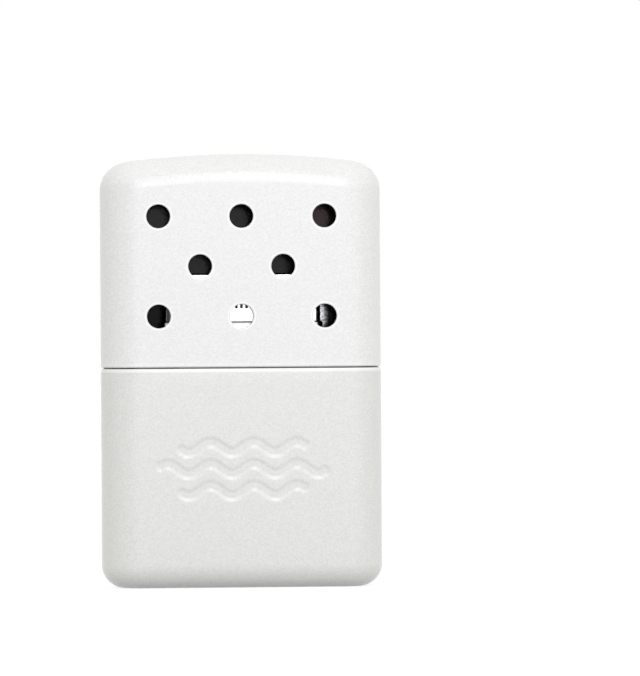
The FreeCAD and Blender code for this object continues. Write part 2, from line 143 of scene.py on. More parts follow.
class Board:
    """The node tree of one material or world."""

    def __init__(self, owner: Any) -> None:
        """Empty the owner's node tree.

        Args:
            owner: the material or the world.
        """
        owner.use_nodes = True
        self.tree = owner.node_tree
        self.tree.nodes.clear()

    def node(self, kind: str, inputs: dict[int | str, Any] | None = None, **settings: Any) -> bpy.types.Node:
        """Add one node.

        Args:
            kind: the node's type, without the words that all of them start with.
            inputs: values or links by socket name or number.
            settings: its properties, set before its sockets.

        Returns:
            The new node.
        """
        made = self.tree.nodes.new(f"ShaderNode{kind}")
        for key, value in settings.items():
            setattr(made, key, value)
        for key, value in (inputs or {}).items():
            if isinstance(value, Value):
                self.tree.links.new(value.socket, made.inputs[key])
            elif isinstance(value, Socket):
                self.tree.links.new(value, made.inputs[key])
            else:
                made.inputs[key].default_value = value
        return made

    def point(self) -> Socket:
        """Return the point on the object in metres."""
        return self.node("TexCoord").outputs["Object"]

    def place(self) -> tuple[Value, Value, Value]:
        """Return the X, Y and Z of the point on the object, in millimetres."""
        split = self.node("SeparateXYZ", {0: self.point()})
        return tuple(Value(self, split.outputs[axis]) * (1 / MM) for axis in "XYZ")

    def noise(self, grain: float, detail: float = 2.0, stretch: Triple = (1, 1, 1)) -> Value:
        """Return noise on object coordinates.

        Args:
            grain: the size of its features in metres.
            detail: how many finer layers it has.
            stretch: how much longer the features are along each axis.

        Returns:
            The noise, about 0.5 on average.
        """
        scale = tuple(1.0 / (grain * longer) for longer in stretch)
        scaled = self.node("Mapping", {"Vector": self.point(), "Scale": scale})
        made = self.node("TexNoise", {"Vector": scaled.outputs[0], "Scale": 1.0, "Detail": detail})
        return Value(self, made.outputs["Fac"])

    def grains(self, size: float) -> Value:
        """Return a random level for each cell of a fine packing of flakes.

        Args:
            size: the width of a flake in metres.

        Returns:
            A level between 0 and 1.
        """
        cells = self.node("TexVoronoi", {"Vector": self.point(), "Scale": 1.0 / size})
        split = self.node("SeparateColor", {0: cells.outputs["Color"]})
        return Value(self, split.outputs[0])

    def mix(self, factor: Value, first: Socket | Colour, second: Socket | Colour) -> Socket:
        """Blend two colours, or sockets with one. A factor of 0 gives the first, and 1 the second."""
        made = self.node("Mix", {0: factor, 6: first, 7: second}, data_type="RGBA")
        return made.outputs[2]

    def looked_at(self) -> Value:
        """Tell what the camera sees from what only lights the scene.

        Returns:
            1 for what is seen directly, in metal or through glass, and 0 for the rest.
        """
        path = self.node("LightPath")
        kinds = [Value(self, path.outputs[f"Is {kind} Ray"]) for kind in ("Camera", "Glossy", "Transmission")]
        return kinds[0].at_least(kinds[1]).at_least(kinds[2])

    def bump(self, height: Value, depth: float, under: Socket | None = None) -> Socket:
        """Turn a height into a normal.

        Args:
            height: the height, 1 being the full depth.
            depth: the full depth in metres.
            under: a normal that the new one is added to.

        Returns:
            The normal.
        """
        inputs = {"Strength": 1.0, "Distance": depth, "Height": height}
        if under is not None:
            inputs["Normal"] = under
        return self.node("Bump", inputs).outputs["Normal"]

    def surface(self, inputs: dict[str, Any]) -> None:
        """End the material in a Principled shader with these inputs."""
        shader = self.node("BsdfPrincipled", inputs)
        self.node("OutputMaterial", {"Surface": shader.outputs[0]})


def grey(level: float, warmth: float = 0.0, yellow: float = 0.0) -> Colour:
    """Return a near-grey colour, with more red and less blue by its warmth, and less blue by its yellow."""
    return (level * (1 + warmth), level, level * (1 - warmth - yellow), 1.0)


# ---- finishes
@dataclass(frozen=True)
class Finish:
    """A named finish that makes its own material."""

    name: str

    def fill(self, board: Board) -> None:
        """Put the finish's nodes on a board."""
        raise NotImplementedError

    def material(self) -> bpy.types.Material:
        """Find the finish's material, or make it on first use.

        Returns:
            The material.
        """
        found = bpy.data.materials.get(self.name)
        if found is None:
            found = bpy.data.materials.new(self.name)
            self.fill(Board(found))
        return found


@dataclass(frozen=True)
class CaseForm:
    """The outer form of a case half, for a paint that stops at its inner wall. Lengths in millimetres."""

    straight: float
    side_flat: float
    side_radius: float
    end: float
    way: int
    bulge: float
    edge_radius: float
    wall: float
    mouth: float
    inner_from: float = 0.76
    inner_whole: float = 0.92

    @classmethod
    def of_node(cls, node: str, plan: "RoundPlan", way: int, crown: float, edge: float,
                wall: float) -> "CaseForm":
        """Read the form of a case half from its box.

        Args:
            node: the case half.
            plan: its plan outline.
            way: 1 where its closed end is up and -1 where it is down.
            crown: the radius of its closed end's crown, or 0 for a flat end.
            edge: the radius between its walls and its closed end.
            wall: the wall's thickness.

        Returns:
            The form in millimetres.
        """
        low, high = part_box(node)
        end, mouth = (high.z, low.z) if way > 0 else (low.z, high.z)
        bulge = MM / (2 * crown) if crown else 0.0
        return cls(
            (plan.half_x - plan.radius) / MM, (plan.half_y - plan.radius) / MM, plan.radius / MM,
            end / MM, way, bulge, edge / MM, wall / MM, mouth / MM,
        )

    def inner_wall(self, board: Board) -> Value:
        """Find the inner face of the case half.

        The depth below the outer form is worked out as for a rounded box: the distances to the plan
        outline and to the closed end are each taken from the edge round, and joined as the two legs of a
        right angle. The inner face starts at a large share of the wall's thickness.

        Args:
            board: the board that gets the nodes.

        Returns:
            1 on the inner face and 0 on the outer one.
        """
        x, y, z = board.place()
        across = (abs(x) - self.straight).at_least(0.0)
        deep = (abs(y) - self.side_flat).at_least(0.0)
        plan = across.hypot(deep) - self.side_radius + self.edge_radius
        crown = (z - self.end) * self.way + x * x * self.bulge + self.edge_radius
        outside = plan.at_least(0.0).hypot(crown.at_least(0.0))
        depth = outside + plan.at_least(crown).at_most(0.0) - self.edge_radius
        return (0.0 - depth).step(self.inner_from * self.wall, self.inner_whole * self.wall)

    def bead(self, board: Board, reach: float, flat: float = 0.2) -> Value:
        """Return 1 near the mouth, for a flat share of the reach, falling to 0 at the whole reach."""
        z = board.place()[2]
        return 1.0 - ((z - self.mouth) * self.way).step(flat * reach, reach)


@dataclass(frozen=True)
class VentRows:
    """Rows of three, two and three round holes in the lid's front. Lengths in millimetres."""

    first: float
    pitch: float = 15.0
    row_pitch: float = 9.03
    radius: float = 2.15
    rim: float = 0.2
    blur: float = 0.12

    def ring(self, board: Board) -> Value:
        """Return 1 in a narrow ring round each hole on the front, where the paint is whitened as a painted
        highlight.

        The distances across and up to the nearest hole of each row are the legs of a right angle.

        Args:
            board: the board that gets the nodes.

        Returns:
            How far each point is in the highlight ring.
        """
        x, y, z = board.place()
        across = abs(x)
        threes = across.at_most(abs(across - self.pitch))
        twos = abs(across - self.pitch / 2)
        away = []
        for row, aside in enumerate((threes, twos, threes)):
            up = z - (self.first + row * self.row_pitch)
            away.append(aside.hypot(up))
        nearest = away[0].at_most(away[1]).at_most(away[2])
        off = abs(nearest - (self.radius + self.rim))
        return (1.0 - off.step(self.rim - self.blur, self.rim + self.blur)) * (0.0 - y).step(0.0, 1.0)


@dataclass(frozen=True)
class InnerLightAndShade:
    """Light and shade painted on the lid's bare inner wall. Lengths in millimetres, but for the grain.

    There is a reddish patch of painted light high at the right, painted shade low at the left and a bright
    painted reflection low at the right of the back. Each pair of bounds runs from none to whole.
    """

    # A reddish patch of painted light high at the right.
    tint: Colour = (0.0255, 0.0185, 0.0182, 1.0)
    tint_right: Pair = (6.0, 16.0)
    tint_up: Pair = (58.0, 64.0)
    # Painted shade low at the left.
    left_shade: Colour = grey(0.007)
    shade_left: Pair = (10.9, 12.9)
    shade_top: Pair = (52.0, 54.0)
    # A bright, mottled painted reflection low at the right of the back.
    painted_reflection: Colour = grey(0.9)
    reflection_right: Pair = (11.7, 13.3)
    reflection_end: Pair = (13.94, 16.5)
    reflection_height: float = 49.2
    reflection_reach: Pair = (1.82, 2.6)
    reflection_grain: float = 0.6 * MM
    reflection_least: float = 0.25

    def over(self, board: Board, bare: Socket) -> Socket:
        """Blend the painted light patch, the painted shade and the painted reflection over the bare metal.

        Args:
            board: the board that gets the nodes.
            bare: the bare metal's colour, near black as partly painted shade.

        Returns:
            The inner wall's colour, with its painted light and shade.
        """
        x, y, z = board.place()
        # Painted light high at the right, painted shade low at the left and a painted reflection low at the
        # right.
        lit_patch = x.step(*self.tint_right) * z.step(*self.tint_up)
        left_shaded = (0.0 - x).step(*self.shade_left) * (1.0 - z.step(*self.shade_top))
        across = (1.0 - x.step(*self.reflection_end)).at_most(x.step(*self.reflection_right))
        up = 1.0 - abs(z - self.reflection_height).step(*self.reflection_reach)
        mottle = board.noise(self.reflection_grain, 4.0, (1, 1, 0.6)).step(0.36, 0.62)
        patchy = mottle * (1 - self.reflection_least) + self.reflection_least
        reflected = across * up * patchy * y.step(0.0, 1.0)
        colour = board.mix(left_shaded, board.mix(lit_patch, bare, self.tint), self.left_shade)
        return board.mix(reflected, colour, self.painted_reflection)


@dataclass(frozen=True)
class PearlPaint(Finish):
    """White pearl powder coat over bare metal: faint orange peel, fine bright flakes and a clear coat.

    The coat is painted a little whiter along the mouth and round the holes, a painted highlight where it is
    thicker, and it stops where the sheet turns inwards. A painted shade line may darken the very edge of the
    mouth, for the shadow in the seam, and the bare inner wall is near black, partly painted shade, with more
    painted light and shade on it.
    Grains, heights and depths are in metres. The reaches from the mouth are in millimetres.
    """

    form: CaseForm
    vents: VentRows | None = None
    # Painted light and shade on the bare inner wall.
    inner_light: InnerLightAndShade | None = None
    level: float = 0.84
    spread: float = 0.07
    yellow: float = 0.0
    dark_yellow: float = 0.008
    flake: float = 0.22 * MM
    flake_height: float = 0.003 * MM
    cloud: float = 6 * MM
    cloud_share: float = 0.1
    peel: float = 0.7 * MM
    peel_height: float = 0.012 * MM
    rough: float = 0.36
    rough_spread: float = 0.12
    coat: float = 0.8
    bead_reach: float = 1.6
    bead_height: float = 0.03 * MM
    # Whiter paint along the mouth and round the holes: a painted highlight, partly thicker coat.
    lip_highlight: float = 0.9
    lip_highlight_flat: float = 0.6
    lip_highlight_share: float = 0.85
    thick_highlight: Colour = grey(0.97)
    # A painted shade line along the very edge of the mouth, for the shadow in the seam.
    seam_shade_reach: float = 0.1
    seam_shade_flat: float = 0.7
    seam_shade: float = 0.0
    seam_shade_colour: Colour = grey(0.02)
    bare_grain: float = 1.4 * MM
    # Near-black bare metal for the inner wall: dark metal, partly painted shade.
    bare_shade_dark: Colour = grey(0.012, 0.02)
    bare_shade_light: Colour = grey(0.019, 0.04)
    bare_rough: float = 0.12

    def fill(self, board: Board) -> None:
        """Put the paint's nodes on a board.

        Args:
            board: the board that gets the nodes.
        """
        flakes = board.grains(self.flake)
        tone = flakes * (1 - self.cloud_share) + board.noise(self.cloud, 3.0) * self.cloud_share
        dark = grey(self.level * (1 - self.spread), yellow=self.yellow + self.dark_yellow)
        paint = board.mix(tone, dark, grey(self.level * (1 + self.spread), yellow=self.yellow))
        # Whiten the paint along the mouth and round the front holes: a painted highlight.
        thick_highlight = self.form.bead(board, self.lip_highlight, self.lip_highlight_flat) * self.lip_highlight_share
        if self.vents is not None:
            thick_highlight = thick_highlight.at_least(self.vents.ring(board))
        paint = board.mix(thick_highlight, paint, self.thick_highlight)
        # Darken the very edge of the mouth: painted shade for the seam.
        seam_shaded = self.form.bead(board, self.seam_shade_reach, self.seam_shade_flat) * self.seam_shade
        paint = board.mix(seam_shaded, paint, self.seam_shade_colour)
        inner = self.form.inner_wall(board)
        # The bare inner wall is near black: dark bare metal, partly painted shade for the shade inside the
        # case.
        bare = board.mix(board.noise(self.bare_grain, 3.0), self.bare_shade_dark, self.bare_shade_light)
        if self.inner_light is not None:
            bare = self.inner_light.over(board, bare)
        rough = flakes * self.rough_spread + self.rough
        bead = board.bump(self.form.bead(board, self.bead_reach), self.bead_height)
        peel = board.bump(board.noise(self.peel), self.peel_height, bead)
        board.surface({
            "Base Color": board.mix(inner, paint, bare),
            "Roughness": rough + inner * (self.bare_rough - rough),
            "Metallic": inner,
            "Normal": board.bump(flakes, self.flake_height, peel),
            "Coat Weight": (1.0 - inner) * self.coat,
            "Coat Roughness": 0.25,
            "IOR": 1.5,
        })


@dataclass(frozen=True)
class EndShade:
    """Painted shade on the ends of the burner: dark at the left, with a paler line as a painted highlight,
    and patchy dark at the right.

    Lengths in millimetres, but for the grain. Each pair of bounds runs from none to whole.
    """

    colour: Colour = grey(0.02, 0.05)
    share: float = 0.97
    left: Pair = (12.5, 12.8)
    right: Pair = (12.5, 13.3)
    line: float = 13.65
    highlight_line_half: Pair = (0.05, 0.2)
    highlight_line_share: float = 0.35
    patch_grain: float = 1.0 * MM
    patch_share: float = 0.5

    def over(self, board: Board, colour: Socket) -> Socket:
        """Blend the painted shade over the plating.

        Args:
            board: the board that gets the nodes.
            colour: the plating's colour.

        Returns:
            The plating's colour with its painted shade.
        """
        x = board.place()[0]
        # Dark at the left end as painted shade, lightened along a line as a painted highlight; patchy dark at
        # the right end.
        line = 1.0 - abs(x + self.line).step(*self.highlight_line_half)
        left = (0.0 - x).step(*self.left) * (1.0 - line * self.highlight_line_share)
        patch = board.noise(self.patch_grain, 3.0, (0.6, 1, 1.4)).step(0.40, 0.62)
        right = x.step(*self.right) * patch * self.patch_share
        return board.mix(left.at_least(right) * self.share, colour, self.colour)


@dataclass(frozen=True)
class Plating(Finish):
    """Bright plating over drawn steel: fine draw lines, hairline rubs and clouded patches.

    It may be tinted by heat between two heights, have a band of painted shade at a height, be worn dull below
    a height and have painted shade at its ends. Grains and the relief's heights are in metres. Places and
    half widths are in millimetres.
    """

    level: float = 0.74
    spread: float = 0.06
    rough: float = 0.10
    rub: float = 0.3
    draw_grain: float = 0.12 * MM
    draw_rough: float = 0.05
    draw_height: float = 0.0015 * MM
    rub_grain: float = 0.16 * MM
    cloud: float = 3.5 * MM
    cloud_rough: float = 0.08
    cloud_height: float = 0.02 * MM
    tint: float = 0.0
    tint_colour: Colour = (0.62, 0.52, 0.40, 1.0)
    tint_up: Pair = (50.0, 57.0)
    # A band of painted shade at one height.
    shade_line: float | None = None
    shade_line_half: float = 0.26
    shade_line_level: float = 0.02
    worn_below: float | None = None
    worn_fade: float = 1.2
    worn_level: float = 0.42
    worn_rough: float = 0.1
    # Painted shade at the ends.
    end_shade: EndShade | None = None

    def fill(self, board: Board) -> None:
        """Put the plating's nodes on a board.

        Args:
            board: the board that gets the nodes.
        """
        draw = board.noise(self.draw_grain, 3.0, (1, 1, 28))
        rubs = board.noise(self.rub_grain, 2.0, (40, 40, 1)).step(0.60, 0.72)
        cloud = board.noise(self.cloud, 4.0)
        z = board.place()[2]
        colour = board.mix(cloud, grey(self.level * (1 - self.spread)), grey(self.level * (1 + self.spread)))
        heat = z.step(*self.tint_up) * (cloud + 0.35) * self.tint
        colour = board.mix(heat, colour, self.tint_colour)
        rough = cloud * self.cloud_rough + self.rough + rubs * self.rub + draw * self.draw_rough
        if self.worn_below is not None:
            worn = 1.0 - (z + cloud * 0.6).step(self.worn_below - self.worn_fade, self.worn_below)
            colour = board.mix(worn * (rubs * 0.2 + 0.8), colour, grey(self.worn_level, 0.01))
            rough = rough + worn * self.worn_rough
        # A dark band at one height: painted shade, for the seam on the collar and along the skirt's rim.
        if self.shade_line is not None:
            dull = 1.0 - abs(z - self.shade_line).step(0.7 * self.shade_line_half, 1.5 * self.shade_line_half)
            colour = board.mix(dull * (cloud * 0.15 + 0.85), colour, grey(self.shade_line_level, 0.08))
        if self.end_shade is not None:
            colour = self.end_shade.over(board, colour)
        normal = board.bump(draw, self.draw_height, board.bump(cloud, self.cloud_height))
        board.surface({"Base Color": colour, "Metallic": 1.0, "Roughness": rough, "Normal": normal})


@dataclass(frozen=True)
class SheetSteel(Finish):
    """Plain stainless sheet or wire: rolled grain with a dull, slightly straw-coloured bloom."""

    level: float = 0.50
    straw: Triple = (0.92, 0.80, 0.62)
    roll_grain: float = 0.08 * MM
    roll_height: float = 0.004 * MM
    bloom_grain: float = 2.2 * MM
    rough: float = 0.26
    rough_spread: float = 0.2

    def fill(self, board: Board) -> None:
        """Put the steel's nodes on a board.

        Args:
            board: the board that gets the nodes.
        """
        grain = board.noise(self.roll_grain, 3.0, (20, 1, 1))
        bloom = board.noise(self.bloom_grain, 3.0).step(0.4, 0.7)
        straw = (*(self.level * share for share in self.straw), 1.0)
        colour = board.mix(bloom, grey(self.level), straw)
        normal = board.bump(grain, self.roll_height)
        rough = grain * self.rough_spread + self.rough
        board.surface({"Base Color": colour, "Metallic": 1.0, "Roughness": rough, "Normal": normal})


@dataclass(frozen=True)
class Fleece(Finish):
    """Matted fibre, such as felt, cotton or glass: tangled strands over soft lumps."""

    dark: Colour
    light: Colour
    strand: float
    relief: float
    sheen: float
    lump: float = 1.8 * MM

    def fill(self, board: Board) -> None:
        """Put the fibre's nodes on a board.

        Args:
            board: the board that gets the nodes.
        """
        across = board.noise(self.strand, 2.0, (14, 1, 1))
        upright = board.noise(self.strand, 2.0, (1, 1, 11))
        slanted = board.noise(self.strand, 2.0, (1, 9, 3))
        tangle = across.at_least(upright).at_least(slanted)
        lumps = board.noise(self.lump, 3.0)
        colour = board.mix((tangle * 0.8 + lumps * 0.5 - 0.2).step(0.2, 0.75), self.dark, self.light)
        normal = board.bump(tangle, self.relief, board.bump(lumps, 3 * self.relief))
        board.surface({
            "Base Color": colour, "Roughness": 0.9, "Normal": normal, "Sheen Weight": self.sheen,
            "Sheen Roughness": 0.5,
        })


# ---- surfaces
def ring_faces(rings: int, sides: int, copies: int = 1) -> np.ndarray:
    """Number the corners of the faces between rings of points that follow one another.

    The face at (i, j) joins points (i, j), (i, j+1), (i+1, j+1) and (i+1, j), with j taken round again. Copy
    c adds c * rings * sides to each.

    Args:
        rings: how many rings there are.
        sides: the points in a ring.
        copies: how many such stacks of rings follow one another.

    Returns:
        An array of four corners for each face.
    """
    i, j = np.arange(rings - 1)[:, None] * sides, np.arange(sides)[None, :]
    along = (j + 1) % sides
    one = np.stack([i + j, i + along, i + sides + along, i + sides + j], axis=-1).reshape(-1, 4)
    shift = (np.arange(copies) * rings * sides)[:, None, None]
    return (one[None] + shift).reshape(-1, 4)


def make_piece(name: str, points: np.ndarray, faces: list[np.ndarray], merge: float = 0.0) -> Piece:
    """Make a smooth mesh object from points and faces.

    Args:
        name: the piece's name.
        points: its vertices, three numbers each.
        faces: arrays of corners, each array with one number of corners a face.
        merge: the distance under which vertices become one, or 0 to leave them.

    Returns:
        The object, at the origin and linked to the scene.
    """
    mesh = bpy.data.meshes.new(name)
    flat = points.reshape(-1, 3)
    mesh.vertices.add(len(flat))
    mesh.vertices.foreach_set("co", flat.astype(np.float32).ravel())
    counts = np.concatenate([np.full(len(part), part.shape[1]) for part in faces])
    corners = np.concatenate([part.ravel() for part in faces]).astype(np.int32)
    starts = np.concatenate([[0], np.cumsum(counts)[:-1]]).astype(np.int32)
    mesh.loops.add(len(corners))
    mesh.loops.foreach_set("vertex_index", corners)
    mesh.polygons.add(len(counts))
    mesh.polygons.foreach_set("loop_start", starts)
    mesh.update(calc_edges=True)
    mesh.validate()
    if merge:
        work = bmesh.new()
        work.from_mesh(mesh)
        bmesh.ops.remove_doubles(work, verts=work.verts, dist=merge)
        bmesh.ops.recalc_face_normals(work, faces=work.faces)
        work.to_mesh(mesh)
        work.free()
    mesh.shade_smooth()
    piece = bpy.data.objects.new(name, mesh)
    bpy.context.scene.collection.objects.link(piece)
    return piece


@dataclass(frozen=True)
class RoundPlan:
    """A plan outline: a rectangle with round corners, given by its half sizes and corner radius."""

    half_x: float
    half_y: float
    radius: float

    @classmethod
    def of_node(cls, node: str, side_flat: float) -> "RoundPlan":
        """Read the outline of a CAD node from its box.

        Args:
            node: the node's name.
            side_flat: the flat that its narrow sides keep between their two corners.

        Returns:
            The outline.
        """
        low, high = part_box(node)
        half_y = (high.y - low.y) / 2
        return cls((high.x - low.x) / 2, half_y, half_y - side_flat / 2)

    def round_trip(self, front: np.ndarray, back: int, corner: int) -> Arrays:
        """Walk round the outline, anticlockwise from the front's left end.

        Each point is a centre plus the radius in some direction. Along a straight the centre moves and the
        direction stays, and round a corner the direction turns and the centre stays. An outline drawn smaller
        by an inset has the same centres and directions, with the radius less the inset.

        Args:
            front: where the front's points lie, from 0 at its left end to 1 at its right.
            back: how many points the back has.
            corner: how many points each corner has.

        Returns:
            The centres' X and Y and the directions' angles.
        """
        cx, cy = self.half_x - self.radius, self.half_y - self.radius
        turn = np.linspace(0, math.pi / 2, corner + 2)[1:-1]
        ends = np.array([0.0, 1.0])
        centres = np.array([[-cx, -cy], [cx, -cy], [cx, cy], [-cx, cy], [-cx, -cy]])
        parts = []
        for side, share in enumerate((front, ends, np.linspace(0, 1, back), ends)):
            start, end = centres[side:side + 2]
            angle = (side - 1) * math.pi / 2
            parts.append((*(start + share[:, None] * (end - start)).T, np.full(len(share), angle)))
            parts.append((np.full(corner, end[0]), np.full(corner, end[1]), angle + turn))
        return tuple(np.concatenate(part) for part in zip(*parts))

    def carry(self, trip: Arrays, inset: np.ndarray, height: np.ndarray) -> np.ndarray:
        """Carry a profile round the outline, and close its two ends.

        The point at (v, u) is centre(u) + (radius - inset(v)) * direction(u), at height(v). In the first and
        the last row the centres lie on the long axis, which closes the ends.

        Args:
            trip: centres and directions from round_trip.
            inset: how far each profile point lies inside the outline.
            height: each profile point's height.

        Returns:
            Points in profile rows and outline columns.
        """
        cx, cy, angle = trip
        reach = (self.radius - inset)[:, None]
        kept = np.ones((len(inset), 1))
        kept[[0, -1]] = 0.0
        x = cx + reach * np.cos(angle)
        y = cy * kept + reach * np.sin(angle)
        z = np.broadcast_to(height[:, None], x.shape)
        return np.stack([x, y, z], axis=-1)


def quarter(steps: int) -> tuple[np.ndarray, np.ndarray]:
    """Return the sine and the cosine of even steps through a quarter turn."""
    angle = np.linspace(0, math.pi / 2, steps)
    return np.sin(angle), np.cos(angle)


def lumpy(points: np.ndarray, pitch: float, seed: int) -> np.ndarray:
    """Work out soft lumps over space.

    The level is the mean of a few sine waves, each along a random direction, with wavelengths near the pitch.

    Args:
        points: the places, three numbers each.
        pitch: the size of a lump.
        seed: which waves are drawn.

    Returns:
        A level between -1 and 1 for each place.
    """
    source, count = np.random.default_rng(seed), 7
    waves = source.normal(size=(count, 3))
    shorter = source.uniform(0.6, 1.6, (count, 1))
    waves *= (2 * math.pi / pitch) * shorter / np.linalg.norm(waves, axis=1)[:, None]
    shift = source.uniform(0, 2 * math.pi, count)
    return np.sin(points @ waves.T + shift).mean(axis=-1)


def tubes(paths: np.ndarray, radius: float, first: np.ndarray, second: np.ndarray, sides: int) -> MeshData:
    """Thicken many paths at once into round wires.

    The ring at a path's point p is p + radius * (cos(a) * first + sin(a) * second) for even angles a.

    Args:
        paths: wires, points and X, Y, Z.
        radius: the wires' radius.
        first: one direction across the wires, for all or for each.
        second: the other direction across, at right angles to it.
        sides: how many sides a wire has.

    Returns:
        The points, and a list with the side faces and the end faces.
    """
    wires, steps = paths.shape[:2]
    angle = np.arange(sides) * 2 * math.pi / sides
    first, second = (np.broadcast_to(part, paths.shape)[:, :, None, :] for part in (first, second))
    ring = np.cos(angle)[:, None] * first + np.sin(angle)[:, None] * second
    points = paths[:, :, None, :] + radius * ring
    side_faces = ring_faces(steps, sides, wires)
    base = (np.arange(wires) * steps * sides)[:, None]
    start = base + np.arange(sides)[None, :]
    end = base + (steps - 1) * sides + np.arange(sides)[None, ::-1]
    return points, [side_faces[:, ::-1], start, end]


# ---- sub-assemblies
class SubAssembly:
    """A group of pieces that one bench step takes apart."""

    body: Body

    def build(self) -> list[Piece]:
        """Make the group's new pieces and return them."""
        return []

    def dress(self) -> None:
        """Give the group's carried-over nodes their finish."""

    def seat(self, piece: Piece, finish: Finish, slot: Slot, *nodes: str) -> Piece:
        """Dress a new piece, put it on the group's body and let it stand for nodes.

        Args:
            piece: the new piece.
            finish: its finish.
            slot: the record's slot for it; not used.
            nodes: the nodes that it replaces.

        Returns:
            The piece.
        """
        piece.data.materials.clear()
        piece.data.materials.append(finish.material())
        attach(piece, self.body.value)
        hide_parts(*nodes)
        return piece

    @staticmethod
    def paint(finish: Finish, *nodes: str) -> None:
        """Give carried-over nodes a finish.

        Args:
            finish: the finish.
            nodes: the nodes.
        """
        for node in nodes:
            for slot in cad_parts[node].material_slots:
                slot.material = finish.material()


@dataclass
class Lid(SubAssembly):
    """The vented upper half of the case. Lengths in metres, but the lowest holes' height in millimetres."""

    side_flat: float = 0.2 * MM
    edge_radius: float = 5.2 * MM
    crown_radius: float = 167.0 * MM
    wall: float = 0.45 * MM
    first_vents: float = 9.21
    body: Body = Body.LID

    def dress(self) -> None:
        """Paint the lid white outside, and leave its bare inner wall near black, partly painted shade, with
        painted light and shade on it.
        """
        plan = RoundPlan.of_node("lid_shell", self.side_flat)
        form = CaseForm.of_node("lid_shell", plan, 1, self.crown_radius, self.edge_radius, self.wall)
        vents = VentRows(first=form.mouth + self.first_vents)
        # The lid's paint is whitened faintly along the mouth and round the holes as painted highlights; its
        # inner wall is near black with painted light and shade.
        self.paint(PearlPaint("lid_pearl_paint", form, vents, InnerLightAndShade(), lip_highlight_share=0.3), "lid_shell")


@dataclass
class WaveSign:
    """Three level waves, one above the other, pressed into the tank's front. Lengths in metres."""

    middle: float = 21.6 * MM
    spacing: float = 3.9 * MM
    swing: float = 0.9 * MM
    wave: float = 7.8 * MM
    half_long: float = 14.8 * MM
    half_short: float = 11.0 * MM
    half_width: float = 0.5 * MM
    shoulder: float = 0.62 * MM
    depth: float = 0.16 * MM
    margin: float = 0.5 * MM

    @property
    def half_size(self) -> Pair:
        """Half of the sign's length and of its height, with a margin."""
        brim = self.half_width + self.shoulder + self.margin
        return self.half_long + brim, self.spacing + self.swing + brim

    def press(self, x: np.ndarray, z: np.ndarray) -> np.ndarray:
        """Work out how deep the sign is pressed.

        Wave k follows z = middle + k * spacing + swing * sin(2 pi x / wave). The distance to it is measured
        across its slope, and past its ends to the end point. The depth falls evenly to 0 over the shoulder.

        Args:
            x: places across the front.
            z: places up the front.

        Returns:
            The depth at each place.
        """
        k = np.array([-1, 0, 1])
        half = np.where(k == 0, self.half_long, self.half_short)
        turn = 2 * math.pi / self.wave
        along = x[..., None]
        held = np.clip(along, -half, half)
        line = self.middle + k * self.spacing + self.swing * np.sin(turn * held)
        slope = self.swing * turn * np.cos(turn * held)
        aside = (z[..., None] - line) / np.sqrt(1 + slope**2 * (np.abs(along) < half))
        away = np.hypot(aside, along - held).min(axis=-1)
        return self.depth * np.clip((self.half_width + self.shoulder - away) / self.shoulder, 0, 1)


